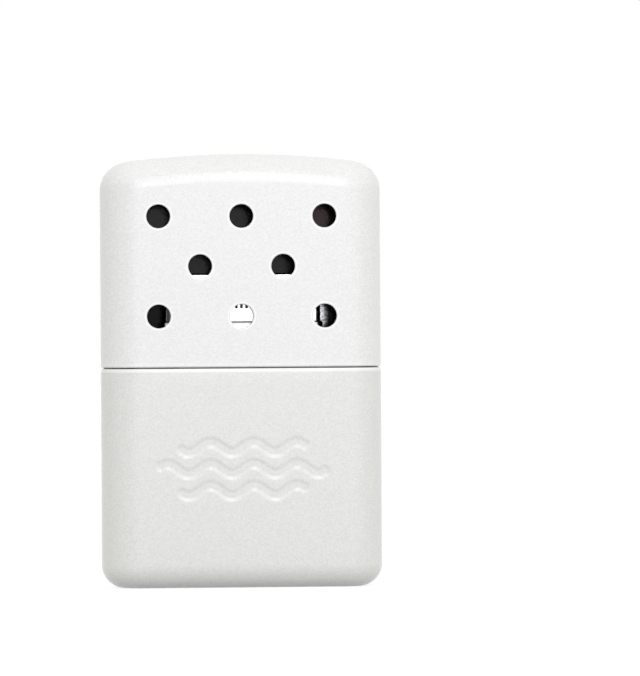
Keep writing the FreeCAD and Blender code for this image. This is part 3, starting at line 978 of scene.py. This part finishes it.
@dataclass
class Tank(SubAssembly):
    """The lower half of the case, with the sign pressed into its front. Lengths in metres."""

    side_flat: float = 0.2 * MM
    bottom_radius: float = 4.2 * MM
    wall: float = 0.45 * MM
    mouth_round: float = 0.35 * MM
    mouth_inner: float = 0.08 * MM
    inner_top: float = 2 * MM
    inner_low: float = 1 * MM
    sign_step: float = 0.11 * MM
    edge_steps: int = 14
    side_steps: int = 6
    back_steps: int = 16
    corner_steps: int = 22
    body: Body = Body.TANK

    def profile(self, sign: WaveSign, height: float, radius: float) -> tuple[np.ndarray, np.ndarray]:
        """Work out the wall's profile, from the base's middle, up the outside and down the inside.

        Args:
            sign: the sign, which needs close rows.
            height: the tank's height.
            radius: the plan's corner radius.

        Returns:
            Insets and heights.
        """
        sine, cosine = quarter(self.edge_steps)
        low, high = sign.middle - sign.half_size[1], sign.middle + sign.half_size[1]
        rows = int((high - low) / self.sign_step)
        wall_rows = np.concatenate([
            np.linspace(self.bottom_radius, low, self.side_steps)[1:-1],
            np.linspace(low, high, rows),
            np.linspace(high, height - self.mouth_round, self.side_steps)[1:-1],
        ])
        mouth_sine, mouth_cosine = quarter(self.side_steps)
        inner = self.bottom_radius - self.wall
        inset = np.concatenate([
            [radius, radius, 0.6 * radius],
            self.bottom_radius * (1 - sine),
            np.zeros(len(wall_rows)),
            self.mouth_round * (1 - mouth_cosine),
            [0.9 * self.wall, self.wall, self.wall, self.wall],
            self.wall + inner * (1 - sine)[::-1],
            [radius, radius],
        ])
        z = np.concatenate([
            [0.0, 0.0, 0.0],
            self.bottom_radius * (1 - cosine),
            wall_rows,
            height - self.mouth_round * (1 - mouth_sine),
            [height, height - self.mouth_inner, height - self.inner_top, self.bottom_radius + self.inner_low],
            self.wall + inner * (1 - cosine)[::-1],
            [self.wall, self.wall],
        ])
        return inset, z

    def build(self) -> list[Piece]:
        """Make the tank shell: its profile carried round the plan, with the sign pressed in.

        Returns:
            The shell.
        """
        low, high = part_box("tank_shell")
        plan = RoundPlan.of_node("tank_shell", self.side_flat)
        sign = WaveSign()
        straight = plan.half_x - plan.radius
        reach = sign.half_size[0] / straight
        close = int(2 * sign.half_size[0] / self.sign_step)
        front = np.concatenate([
            np.linspace(-1, -reach, self.side_steps)[:-1],
            np.linspace(-reach, reach, close),
            np.linspace(reach, 1, self.side_steps)[1:],
        ])
        trip = plan.round_trip((front + 1) / 2, self.back_steps, self.corner_steps)
        inset, z = self.profile(sign, high.z - low.z, plan.radius)
        points = plan.carry(trip, inset, z + low.z)
        front_wall = (inset == 0)[:, None] & (trip[2] == trip[2].min())[None, :]
        points[..., 1] += np.where(front_wall, sign.press(points[..., 0], points[..., 2]), 0.0)
        faces = ring_faces(len(z), len(trip[0]))
        piece = make_piece("tank_case", points, [faces], MERGE)
        level = piece.modifiers.new("flat_faces", "WEIGHTED_NORMAL")
        level.keep_sharp = True
        form = CaseForm.of_node("tank_shell", plan, -1, 0.0, self.bottom_radius, self.wall)
        # The tank's paint is a darker copy of the lid's white, painted shade for the lower half, and a little
        # yellower; its mouth gets a painted highlight and a painted shade line at the very edge.
        paint = PearlPaint("tank_pearl_paint", form, level=0.78, yellow=0.022, seam_shade=0.95)
        return [self.seat(piece, paint, Slot.PAINT, "tank_shell")]


@dataclass
class Pad:
    """A soft block with a plan outline, domed faces and lumps. Lengths in metres."""

    name: str
    node: str
    side_flat: float
    edge: float
    lump: float
    pitch: float
    seed: int
    edge_steps: int = 8
    face_steps: int = 12
    wall_steps: int = 26
    side_steps: int = 90
    corner_steps: int = 14

    def make(self) -> Piece:
        """Make the pad inside its node's box.

        A quarter-round edge is carried round the plan at the bottom and the top, both faces close on the
        long axis, and each point is pulled inwards by up to one lump.

        Returns:
            The pad.
        """
        low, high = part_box(self.node)
        plan = RoundPlan.of_node(self.node, self.side_flat)
        edge = min(self.edge, (high.z - low.z) / 2 - 0.2 * MM)
        sine, cosine = quarter(self.edge_steps)
        flat = np.linspace(plan.radius, edge, self.face_steps)[:-1]
        rise = np.linspace(low.z + edge, high.z - edge, self.wall_steps)[1:-1]
        inset = np.concatenate([
            [plan.radius], flat, edge * (1 - sine), np.zeros(len(rise)), edge * (1 - sine)[::-1],
            flat[::-1], [plan.radius],
        ])
        z = np.concatenate([
            np.full(self.face_steps, low.z), low.z + edge * (1 - cosine), rise,
            high.z - edge * (1 - cosine)[::-1], np.full(self.face_steps, high.z),
        ])
        trip = plan.round_trip(np.linspace(0, 1, self.side_steps), self.side_steps, self.corner_steps)
        points = plan.carry(trip, inset, z)
        middle = np.array([0, 0, (low.z + high.z) / 2])
        half = np.array([plan.half_x, plan.half_y, (high.z - low.z) / 2])
        sink = self.lump * (0.5 + 0.5 * lumpy(points, self.pitch, self.seed))[..., None]
        points = middle + (points - middle) * (1 - sink / half)
        return make_piece(self.name, points, [ring_faces(len(z), len(trip[0]))], MERGE)


@dataclass
class Neck(SubAssembly):
    """The collar, the deck and the filler neck with its screen and felt."""

    body: Body = Body.TANK
    felt_flat: float = 6.0 * MM

    def build(self) -> list[Piece]:
        """Make the felt.

        Returns:
            The felt.
        """
        felt = Pad(
            "neck_felt", "wick_felt", self.felt_flat, edge=0.5 * MM, lump=0.12 * MM, pitch=2.5 * MM, seed=11,
        ).make()
        finish = Fleece(
            "white_felt", grey(0.42, 0.05), grey(0.66, 0.04), strand=0.07 * MM, relief=0.06 * MM, sheen=0.2,
        )
        return [self.seat(felt, finish, Slot.FELT, "wick_felt")]

    def dress(self) -> None:
        """Plate the collar, deck and neck, with a band of painted shade on the collar at the seam, and leave
        the screen plain steel.
        """
        shade_line = (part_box("tank_shell")[1].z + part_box("lid_shell")[0].z) / 2 / MM
        # A band of painted shade on the collar, for the shadow in the seam.
        self.paint(Plating("collar_plating", shade_line=shade_line), "tank_collar")
        self.paint(Plating("case_plating"), "tank_deck", "filler_neck")
        self.paint(SheetSteel("screen_steel"), "neck_screen")


@dataclass
class Fuel(SubAssembly):
    """The cotton pads in the tank."""

    body: Body = Body.TANK
    side_flat: float = 0.2 * MM
    layers: tuple[str, ...] = ("bottom", "lower", "upper", "top")
    low_edge: float = 3.4 * MM
    edge: float = 2.2 * MM
    first_seed: int = 20

    def build(self) -> list[Piece]:
        """Make one lumpy pad for each layer of cotton.

        Returns:
            The pads, from the bottom up.
        """
        finish = Fleece(
            "cotton_wadding", grey(0.66, 0.03), grey(0.86, 0.01), strand=0.12 * MM, relief=0.2 * MM,
            sheen=0.4,
        )
        pieces = []
        for index, layer in enumerate(self.layers):
            node = f"wadding_{layer}"
            edge = self.edge if index else self.low_edge
            piece = Pad(
                f"cotton_{layer}", node, self.side_flat, edge, lump=0.7 * MM, pitch=6 * MM,
                seed=self.first_seed + index,
            ).make()
            pieces.append(self.seat(piece, finish, Slot.COTTON, node))
        return pieces


@dataclass
class Burner(SubAssembly):
    """The pull-off burner: plated housing and skirt, gauze, and the catalyst's glass fibre.

    Lengths are in metres, but for the half height of the painted shade line along the rim and the worn band's
    distance under it, in millimetres. The fibres' spread and bow are shares along X, Y and Z.
    """

    body: Body = Body.BURNER
    wire_radius: float = 0.055 * MM
    wire_pitch: float = 0.46 * MM
    wire_sides: int = 5
    mat_flat: float = 6.0 * MM
    rim_shade_half: float = 0.25
    worn_under: float = 1.2
    fibres: int = 1500
    fibre_radius: float = 0.028 * MM
    fibre_steps: int = 9
    fibre_sides: int = 4
    fibre_spread: Triple = (1.0, 0.12, 0.6)
    fibre_bow: Triple = (0.5, 0.1, 0.5)
    fibre_room: float = 3.0 * MM
    fibre_seed: int = 5

    def weave(self, node: str) -> MeshData:
        """Weave a gauze in a node's box.

        Upright wire i bends as y = y0 + r * cos(pi (z - z0) / pitch + pi i), and cross wire j as the opposite
        wave in x, so that each passes over one wire and under the next. Each round of the loop has the axis
        across the wires, the axis along them, the points in one pitch and the sign of the wave.

        Args:
            node: the sheet that the gauze replaces.

        Returns:
            The points and the faces.
        """
        low, high = (np.array(corner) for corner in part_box(node))
        middle, radius, pitch = (low + high) / 2, self.wire_radius, self.wire_pitch
        counts = ((high - low - 2 * radius) / pitch).astype(int)
        spots = [
            centre + (np.arange(count) - (count - 1) / 2) * pitch for centre, count in zip(middle, counts)
        ]
        points, faces, shift = [], [], 0
        for across, along, steps, sign in ((0, 2, 5, 1), (2, 0, 4, -1)):
            number = np.arange(counts[across])[:, None]
            run = np.linspace(low[along], high[along], steps * counts[along])
            paths = np.empty((counts[across], len(run), 3))
            paths[..., across], paths[..., along] = spots[across][:, None], run
            wave = np.cos(math.pi * ((run - spots[along][0]) / pitch + number))
            paths[..., 1] = middle[1] + sign * radius * wave
            made, sides = tubes(paths, radius, np.eye(3)[across], sign * np.eye(3)[1], self.wire_sides)
            faces += [part + shift for part in sides]
            points.append(made.reshape(-1, 3))
            shift += len(points[-1])
        return np.concatenate(points), faces

    def tangle(self) -> MeshData:
        """Lay loose glass fibres over the mat.

        Each fibre is a short arc: start + t * direction + (1/4 - t*t) * bow, with t from -1/2 to 1/2, clipped
        to the mat's box. Most start on the mat's front or back, and the rest on its top.

        Returns:
            The points and the faces.
        """
        low, high = (np.array(corner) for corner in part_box("catalyst_mat"))
        source = np.random.default_rng(self.fibre_seed)
        count, room = self.fibres, self.fibre_radius * 1.5
        start = source.uniform(low + room, high - room, (count, 3))
        skin = source.integers(0, 3, count)
        side = source.integers(0, 2, count)
        start[:, 1] = np.where(skin < 2, np.where(side == 0, low[1] + room, high[1] - room), start[:, 1])
        start[:, 2] = np.where(skin == 2, high[2] - room, start[:, 2])
        heading = source.normal(size=(count, 3)) * self.fibre_spread
        heading /= np.linalg.norm(heading, axis=1)[:, None]
        length = source.uniform(2.0, 5.5, (count, 1)) * MM
        bow = source.normal(size=(count, 3)) * self.fibre_bow * length
        t = np.linspace(-0.5, 0.5, self.fibre_steps)[None, :, None]
        paths = start[:, None, :] + t * (heading * length)[:, None, :] + (0.25 - t * t) * bow[:, None, :]
        paths[..., 0] = np.clip(paths[..., 0], low[0] + self.fibre_room, high[0] - self.fibre_room)
        paths = np.clip(paths, low + room, high - room)
        first = np.cross(heading, [0.0, 1.0, 0.0])
        first /= np.linalg.norm(first, axis=1)[:, None] + 1e-9
        second = np.cross(first, heading)
        return tubes(paths, self.fibre_radius, first[:, None, :], second[:, None, :], self.fibre_sides)

    def build(self) -> list[Piece]:
        """Make both gauzes, the mat and its loose fibres.

        Returns:
            The pieces.
        """
        steel = SheetSteel("gauze_steel", level=0.42)
        pieces = []
        for side in ("front", "back"):
            node = f"gauze_{side}"
            piece = make_piece(f"wire_gauze_{side}", *self.weave(node))
            pieces.append(self.seat(piece, steel, Slot.STEEL, node))
        mat = Pad(
            "fibre_mat", "catalyst_mat", self.mat_flat, edge=0.9 * MM, lump=0.25 * MM, pitch=1.6 * MM,
            seed=31,
        ).make()
        packed = Fleece(
            "glass_fibre", grey(0.22, 0.02), grey(0.60, 0.02), strand=0.06 * MM, relief=0.08 * MM, sheen=0.1,
        )
        pieces.append(self.seat(mat, packed, Slot.FIBRE, "catalyst_mat"))
        strands = make_piece("fibre_strands", *self.tangle())
        loose = Fleece(
            "loose_fibre", grey(0.45, 0.02), grey(0.80, 0.01), strand=0.06 * MM, relief=0.01 * MM, sheen=0.1,
        )
        pieces.append(self.seat(strands, loose, Slot.FIBRE, "catalyst_mat"))
        return pieces

    def dress(self) -> None:
        """Plate the housing with painted shade at its ends and the skirt with a painted shade line along its
        rim, and leave the floor plain steel.
        """
        look = {"level": 0.88, "rough": 0.12, "rub": 0.18, "tint": 0.15}
        # The housing's ends get painted shade.
        self.paint(Plating("housing_bright", end_shade=EndShade(), **look), "burner_housing")
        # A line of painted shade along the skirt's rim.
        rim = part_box("burner_skirt")[1].z / MM - self.rim_shade_half
        skirt = Plating(
            "skirt_bright", shade_line=rim, shade_line_half=self.rim_shade_half, shade_line_level=0.4,
            worn_below=rim - self.worn_under, **look,
        )
        self.paint(skirt, "burner_skirt")
        self.paint(SheetSteel("floor_steel"), "burner_floor")


# ---- studio
@dataclass(frozen=True)
class Lamp:
    """One soft rectangular lamp. Lengths in metres, power in watts, and blue next to its red and green."""

    name: str
    place: Triple
    size: Pair
    watts: float
    blue: float = 1.0

    def hang(self, aim: Triple) -> None:
        """Add the lamp to the scene.

        Args:
            aim: the point that it looks at.
        """
        light = bpy.data.lights.new(self.name, "AREA")
        light.shape, light.energy, light.color = "RECTANGLE", self.watts, (1.0, 1.0, self.blue)
        light.size, light.size_y = self.size
        holder = bpy.data.objects.new(self.name, light)
        holder.location = self.place
        holder.rotation_euler = (Vector(aim) - Vector(self.place)).to_track_quat("-Z", "Y").to_euler()
        bpy.context.scene.collection.objects.link(holder)


@dataclass
class Studio:
    """The floor, the lamps, the surround and the camera.

    Lengths are in metres, but for the sensor in millimetres, and angles in radians.
    """

    frame_width: int = 640
    frame_height: int = 676
    pixels_per_metre: float = 5500.0
    middle_column: float = 240.7
    base_row: float = 586.0
    distance: float = 0.9
    turn: float = math.radians(3.1)
    roll: float = math.radians(0.39)
    sensor: float = 36.0
    ambient: float = 0.83
    surround_colour: Colour = (1.0, 0.996, 0.945, 1.0)
    floor_half: float = 3.0
    floor_level: float = 0.52
    floor_look: float = 0.30
    floor_glow: float = 0.79
    aim: Triple = (0.0, 0.0, 0.04)
    lamps: tuple[Lamp, ...] = (
        Lamp("key", (0.0, -0.45, 0.14), (0.26, 0.26), 0.20, blue=1.16),
        Lamp("fill", (0.25, -0.38, 0.14), (0.26, 0.26), 0.20),
        Lamp("glint", (0.035, -0.45, 0.27), (0.06, 0.28), 0.38, blue=1.12),
        Lamp("rear", (0.0, 0.6, 0.06), (0.3, 0.3), 0.4),
    )

    def surround(self) -> None:
        """Make a world that is plain white to look at and in metal, and softer as a lamp."""
        world = bpy.data.worlds.new("surround")
        bpy.context.scene.world = world
        board = Board(world)
        soft, white = (
            board.node("Background", {"Color": colour, "Strength": strength}).outputs[0]
            for colour, strength in ((self.surround_colour, self.ambient), (grey(1.0), 1.0))
        )
        both = board.node("MixShader", {0: board.looked_at(), 1: soft, 2: white})
        board.node("OutputWorld", {"Surface": both.outputs[0]})

    def floor(self) -> None:
        """Make a pale floor that is white to look at where no shadow falls."""
        points = self.floor_half * np.array([[-1, -1, 0], [1, -1, 0], [1, 1, 0], [-1, 1, 0]], dtype=float)
        piece = make_piece("floor", points, [np.array([[0, 1, 2, 3]])])
        material = bpy.data.materials.new("floor_white")
        board = Board(material)
        pale = board.node("BsdfDiffuse", {"Color": grey(self.floor_level)})
        matt = board.node("BsdfDiffuse", {"Color": grey(self.floor_look)})
        glow = board.node("Emission", {"Color": grey(1.0), "Strength": self.floor_glow})
        look = board.node("AddShader", {0: matt.outputs[0], 1: glow.outputs[0]})
        seen = board.looked_at()
        both = board.node("MixShader", {0: seen, 1: pale.outputs[0], 2: look.outputs[0]})
        board.node("OutputMaterial", {"Surface": both.outputs[0]})
        piece.data.materials.append(material)

    def camera(self) -> None:
        """Put the camera level, a little to the left of the object's front, and turned to face it.

        The point at the middle of the frame is found from the pixels to the object's middle and base. The
        camera looks at it from the distance, turned about the upright axis.
        """
        right = (self.frame_width / 2 - self.middle_column) / self.pixels_per_metre
        up = (self.base_row - self.frame_height / 2) / self.pixels_per_metre
        lens = bpy.data.cameras.new("camera")
        lens.sensor_fit = "AUTO"
        lens.sensor_width = self.sensor
        longest = max(self.frame_width, self.frame_height)
        lens.lens = self.sensor * self.distance * self.pixels_per_metre / longest
        lens.clip_start, lens.clip_end = 0.01, 20.0
        holder = bpy.data.objects.new("camera", lens)
        across = Vector((math.cos(self.turn), -math.sin(self.turn), 0))
        back = Vector((-math.sin(self.turn), -math.cos(self.turn), 0))
        holder.location = across * right + back * self.distance + Vector((0, 0, up))
        holder.rotation_euler = (math.pi / 2, self.roll, -self.turn)
        bpy.context.scene.collection.objects.link(holder)
        bpy.context.scene.camera = holder

    def build(self) -> None:
        """Make the whole studio."""
        self.camera()
        self.surround()
        self.floor()
        for lamp in self.lamps:
            lamp.hang(self.aim)
        bpy.context.scene.view_settings.view_transform = "Standard"


def main() -> None:
    """Build the studio and each sub-assembly."""
    logging.basicConfig(level=logging.INFO, format="%(name)s: %(message)s")
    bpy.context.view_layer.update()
    Studio().build()
    for group in (Tank(), Neck(), Fuel(), Burner(), Lid()):
        for piece in group.build():
            LOG.info("%s rides on %s with %d faces", piece.name, group.body.value, len(piece.data.polygons))
        group.dress()
        LOG.info("%s is dressed", type(group).__name__)


if __name__ == "__main__":
    main()
